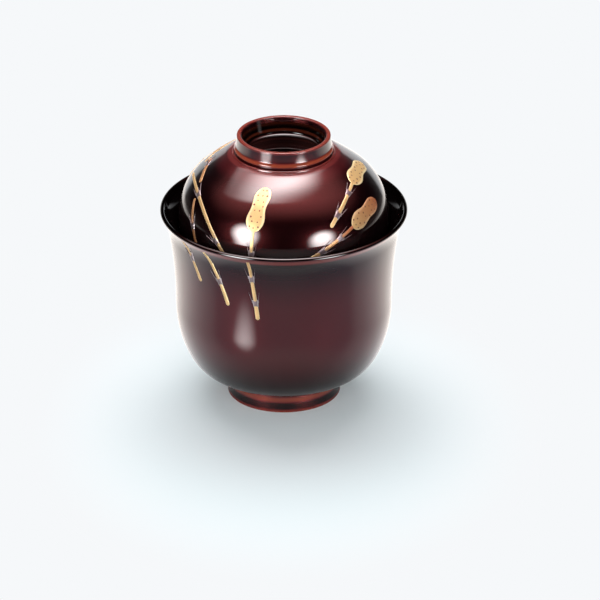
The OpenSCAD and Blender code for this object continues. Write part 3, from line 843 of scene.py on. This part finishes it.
# The room round the bowl: even light, a pale backdrop for the camera, and for the gloss a dark room
# with the backdrop behind and a dim ground in front
def makeRoom(look):
    world = bpy.data.worlds.new("studioRoom")
    world.use_nodes = True
    tree = world.node_tree
    tree.nodes.clear()
    way = addNode(tree, "ShaderNodeTexCoord")
    parts = addNode(tree, "ShaderNodeSeparateXYZ", inputs={"Vector": way.outputs["Generated"]})
    sideways = addNode(tree, "ShaderNodeMath", {"operation": "MULTIPLY"}, {
        0: parts.outputs["X"], 1: parts.outputs["X"]})
    height = addNode(tree, "ShaderNodeMath", {"operation": "MULTIPLY_ADD"}, {
        0: sideways.outputs[0], 1: look["sideLift"], 2: parts.outputs["Z"]})
    rise = addNode(tree, "ShaderNodeMapRange", {"interpolation_type": "SMOOTHSTEP"}, {
        "Value": height.outputs[0], "From Min": look["ceilingFrom"], "From Max": 1.0})
    softRise = addNode(tree, "ShaderNodeMath", {"operation": "POWER"}, {
        0: rise.outputs["Result"], 1: look["ceilingCurve"]})
    ceiling = addNode(tree, "ShaderNodeMath", {"operation": "MULTIPLY"}, {
        0: softRise.outputs[0], 1: look["ceilingGlow"]})
    darkRoom = addNode(tree, "ShaderNodeBackground", inputs={
        "Color": toLinear(look["colour"]), "Strength": ceiling.outputs[0]})

    fromBack = addNode(tree, "ShaderNodeVectorMath", {"operation": "MULTIPLY_ADD"}, {
        0: way.outputs["Generated"], 1: (1 / look["backWide"], 0, 1 / look["backHigh"]),
        2: (0, 0, look["backBelow"] / look["backHigh"])})
    behind = addNode(tree, "ShaderNodeMath", {"operation": "GREATER_THAN"}, {
        0: parts.outputs["Y"], 1: 0.0})
    backShare = addNode(tree, "ShaderNodeMath", {"operation": "MULTIPLY"}, {
        0: addFade(tree, fromBack.outputs["Vector"], *look["backFade"]), 1: behind.outputs[0]})
    paleBack = addNode(tree, "ShaderNodeBackground", inputs={
        "Color": toLinear(look["backColour"]), "Strength": look["backGlow"]})

    fromFront = addNode(tree, "ShaderNodeVectorMath", {"operation": "MULTIPLY_ADD"}, {
        0: way.outputs["Generated"], 1: (look["frontNarrow"], 0, 1 / look["frontHalf"]),
        2: (0, 0, -look["frontRise"] / look["frontHalf"])})
    inFront = addNode(tree, "ShaderNodeMath", {"operation": "LESS_THAN"}, {
        0: parts.outputs["Y"], 1: 0.0})
    frontShare = addNode(tree, "ShaderNodeMath", {"operation": "MULTIPLY"}, {
        0: addFade(tree, fromFront.outputs["Vector"], *look["frontFade"]), 1: inFront.outputs[0]})
    frontGround = addNode(tree, "ShaderNodeBackground", inputs={
        "Color": toLinear(look["frontColour"]), "Strength": look["frontGlow"]})

    withFront = addNode(tree, "ShaderNodeMixShader", inputs={
        0: frontShare.outputs[0], 1: darkRoom.outputs[0], 2: frontGround.outputs[0]})
    mirrored = addNode(tree, "ShaderNodeMixShader", inputs={
        0: backShare.outputs[0], 1: withFront.outputs[0], 2: paleBack.outputs[0]})
    light = addNode(tree, "ShaderNodeBackground", inputs={
        "Color": toLinear(look["lightColour"]), "Strength": look["lightStrength"]})
    backdrop = addNode(tree, "ShaderNodeBackground", inputs={
        "Color": toLinear(look["backdropColour"]), "Strength": 1.0})
    paths = addNode(tree, "ShaderNodeLightPath")
    unseen = addNode(tree, "ShaderNodeMixShader", inputs={
        0: paths.outputs["Is Glossy Ray"], 1: light.outputs[0], 2: mirrored.outputs[0]})
    mixed = addNode(tree, "ShaderNodeMixShader", inputs={
        0: paths.outputs["Is Camera Ray"], 1: unseen.outputs[0], 2: backdrop.outputs[0]})
    addNode(tree, "ShaderNodeOutputWorld", inputs={"Surface": mixed.outputs[0]})
    return world


bpy.context.scene.world = makeRoom(room)
print("room made")

lightTarget = Vector((0, 0, 0.085))


# Hangs a lamp or a panel at its place, aimed at the bowl or straight down
def hang(holder, place, down=False):
    way = Vector((0, 0, 1)) if down else (Vector(place) - lightTarget).normalized()
    steep = way.z > 0.8
    side = (Vector((0, 1, 0)) if steep else Vector((0, 0, 1))).cross(way).normalized()
    holder.matrix_world = (Matrix.Translation(place)
                           @ Matrix((side, way.cross(side), way)).transposed().to_4x4())


# Diffuser panels that the gloss mirrors, in metres: place, size, radiance all over, share of
# the radius where the edge starts to fade, and the flash head's hot spot behind the diffuser:
# its place and reach in radii, and the radiance that it adds
panels = [
    {"name": "overheadDiffuser", "place": (-0.15, 0.36, 1.0), "down": True, "size": (1.54, 1.24),
     "radiance": 2.4, "fadeFrom": 0.66, "hotSpot": (0.29, -0.78, 0), "hotReach": 1.18, "hot": 22.0},
    {"name": "leftDiffuser", "place": (-0.79, -0.87, 0.27), "down": False, "size": (0.8, 0.98),
     "radiance": 26.0, "fadeFrom": 0.36, "hotSpot": (0, 0, 0), "hotReach": 0.8, "hot": 8.0},
    {"name": "rightDiffuser", "place": (0.79, -0.91, 0.065), "down": False, "size": (0.82, 0.86),
     "radiance": 10.0, "fadeFrom": 0.36, "hotSpot": (0, 0.35, 0), "hotReach": 1.2, "hot": 24.0},
    # the left light's dimmer image in the board, which the ring's and the bowl's wall mirror
    {"name": "leftGlare", "place": (-0.79, -0.87, -0.27), "down": False, "size": (0.72, 0.98),
     "radiance": 9.0, "fadeFrom": 0.3, "hotSpot": (0, 0, 0), "hotReach": 0.5, "hot": 0.0}]


# A panel's face: it adds its own glow to what lies behind it, and fades out at its edge
def makeGlow(look):
    material, tree, principled = newMaterial(look["name"] + "Glow")
    tree.nodes.remove(principled)
    face = addNode(tree, "ShaderNodeTexCoord")
    inRadii = addNode(tree, "ShaderNodeVectorMath", {"operation": "SCALE"}, {
        0: face.outputs["Object"], "Scale": 2.0})
    fromHot = addNode(tree, "ShaderNodeVectorMath", {"operation": "SUBTRACT"}, {
        0: inRadii.outputs["Vector"], 1: look["hotSpot"]})
    edge = addFade(tree, inRadii.outputs["Vector"], look["fadeFrom"], 1.0)
    hot = addFade(tree, fromHot.outputs["Vector"], 0.0, look["hotReach"], look["hot"])
    level = addNode(tree, "ShaderNodeMath", {"operation": "ADD"}, {0: hot, 1: look["radiance"]})
    strength = addNode(tree, "ShaderNodeMath", {"operation": "MULTIPLY"}, {
        0: level.outputs[0], 1: edge})
    glow = addNode(tree, "ShaderNodeEmission", inputs={"Strength": strength.outputs[0]})
    clear = addNode(tree, "ShaderNodeBsdfTransparent")
    both = addNode(tree, "ShaderNodeAddShader", inputs={
        0: glow.outputs["Emission"], 1: clear.outputs["BSDF"]})
    tree.links.new(both.outputs["Shader"], tree.nodes["Material Output"].inputs["Surface"])
    return material


circle = [(*(heading(360 * i / 64) / 2), 0) for i in range(64)]
for panel in panels:
    mesh = bpy.data.meshes.new(panel["name"])
    mesh.from_pydata(circle, [], [list(range(len(circle)))])
    mesh.materials.append(makeGlow(panel))
    holder = bpy.data.objects.new(panel["name"], mesh)
    bpy.context.scene.collection.objects.link(holder)
    hang(holder, panel["place"], panel["down"])
    holder.matrix_world = holder.matrix_world @ Matrix.Diagonal((*panel["size"], 1, 1))
    holder.visible_diffuse = False
    holder.visible_camera = False
    holder.visible_shadow = False

# Lamps for the plain level of light, in metres: place, size and radiance of the face
lamps = [
    {"name": "overheadLamp", "place": (-0.06, 0.4, 1.0), "size": (1.2, 1.0), "radiance": 3.3},
    {"name": "frontLamp", "place": (0.1, -1.3, 0.8), "size": (1.0, 0.8), "radiance": 2.5}]

for lamp in lamps:
    light = bpy.data.lights.new(lamp["name"], "AREA")
    light.shape = "ELLIPSE"
    light.size, light.size_y = lamp["size"]
    area = math.pi * light.size * light.size_y / 4
    light.energy = lamp["radiance"] * math.pi * area
    holder = bpy.data.objects.new(lamp["name"], light)
    bpy.context.scene.collection.objects.link(holder)
    hang(holder, lamp["place"])
    holder.visible_glossy = False
print("studio lit")

# Looks down on the bowl through a long lens, aimed from the lip's middle. Metres, and mm for the
# lens and the sensor.
view = {"elevation": 25.0, "distance": 2.5, "lens": 382.7, "sensor": 36, "clipEnd": 30,
        "aimRight": 0.00631, "aimUp": -0.03573, "lipHeight": 0.07825}
elevation = math.radians(view["elevation"])
away = Vector((0, -math.cos(elevation), math.sin(elevation)))
cameraUp = Vector((0, math.sin(elevation), math.cos(elevation)))
centre = Vector((0, 0, view["lipHeight"]))
eye = centre + away * view["distance"]
aim = centre + Vector((1, 0, 0)) * view["aimRight"] + cameraUp * view["aimUp"]
camera = bpy.data.cameras.new("productCamera")
camera.lens = view["lens"]
camera.sensor_width = view["sensor"]
camera.clip_end = view["clipEnd"]
cameraObject = bpy.data.objects.new("productCamera", camera)
bpy.context.scene.collection.objects.link(cameraObject)
cameraObject.location = eye
cameraObject.rotation_euler = (eye - aim).to_track_quat("Z", "Y").to_euler()
bpy.context.scene.camera = cameraObject
bpy.context.scene.view_settings.view_transform = "Standard"
